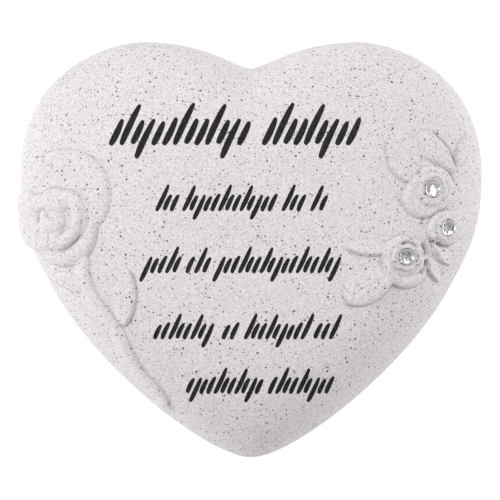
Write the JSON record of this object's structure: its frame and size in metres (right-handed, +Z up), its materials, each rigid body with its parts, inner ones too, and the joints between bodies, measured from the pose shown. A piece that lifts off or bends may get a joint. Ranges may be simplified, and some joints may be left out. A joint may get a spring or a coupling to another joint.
{
  "type": "memorial heart stone",
  "caption": "Domed heart-shaped memorial stone with a long-stemmed rose and a spray of small roses in low relief, crystals in the rose hearts and rows of cut strokes.",
  "frame": {"origin": "centre of the heart's flat underside, halfway across its width and halfway between lobe tops and tip", "axes": "+X across the heart to its right lobe, +Y from the tip to the lobes, +Z up out of the carved face"},
  "size_m": [0.2012, 0.18, 0.055],
  "materials": {
    "stone": "matte",
    "crystal": "polished"
  },
  "bodies": {
    "root": {"heart_stone": "stone", "crystal_upper": "crystal", "crystal_middle": "crystal", "crystal_lower": "crystal"}
  },
  "joints": []
}
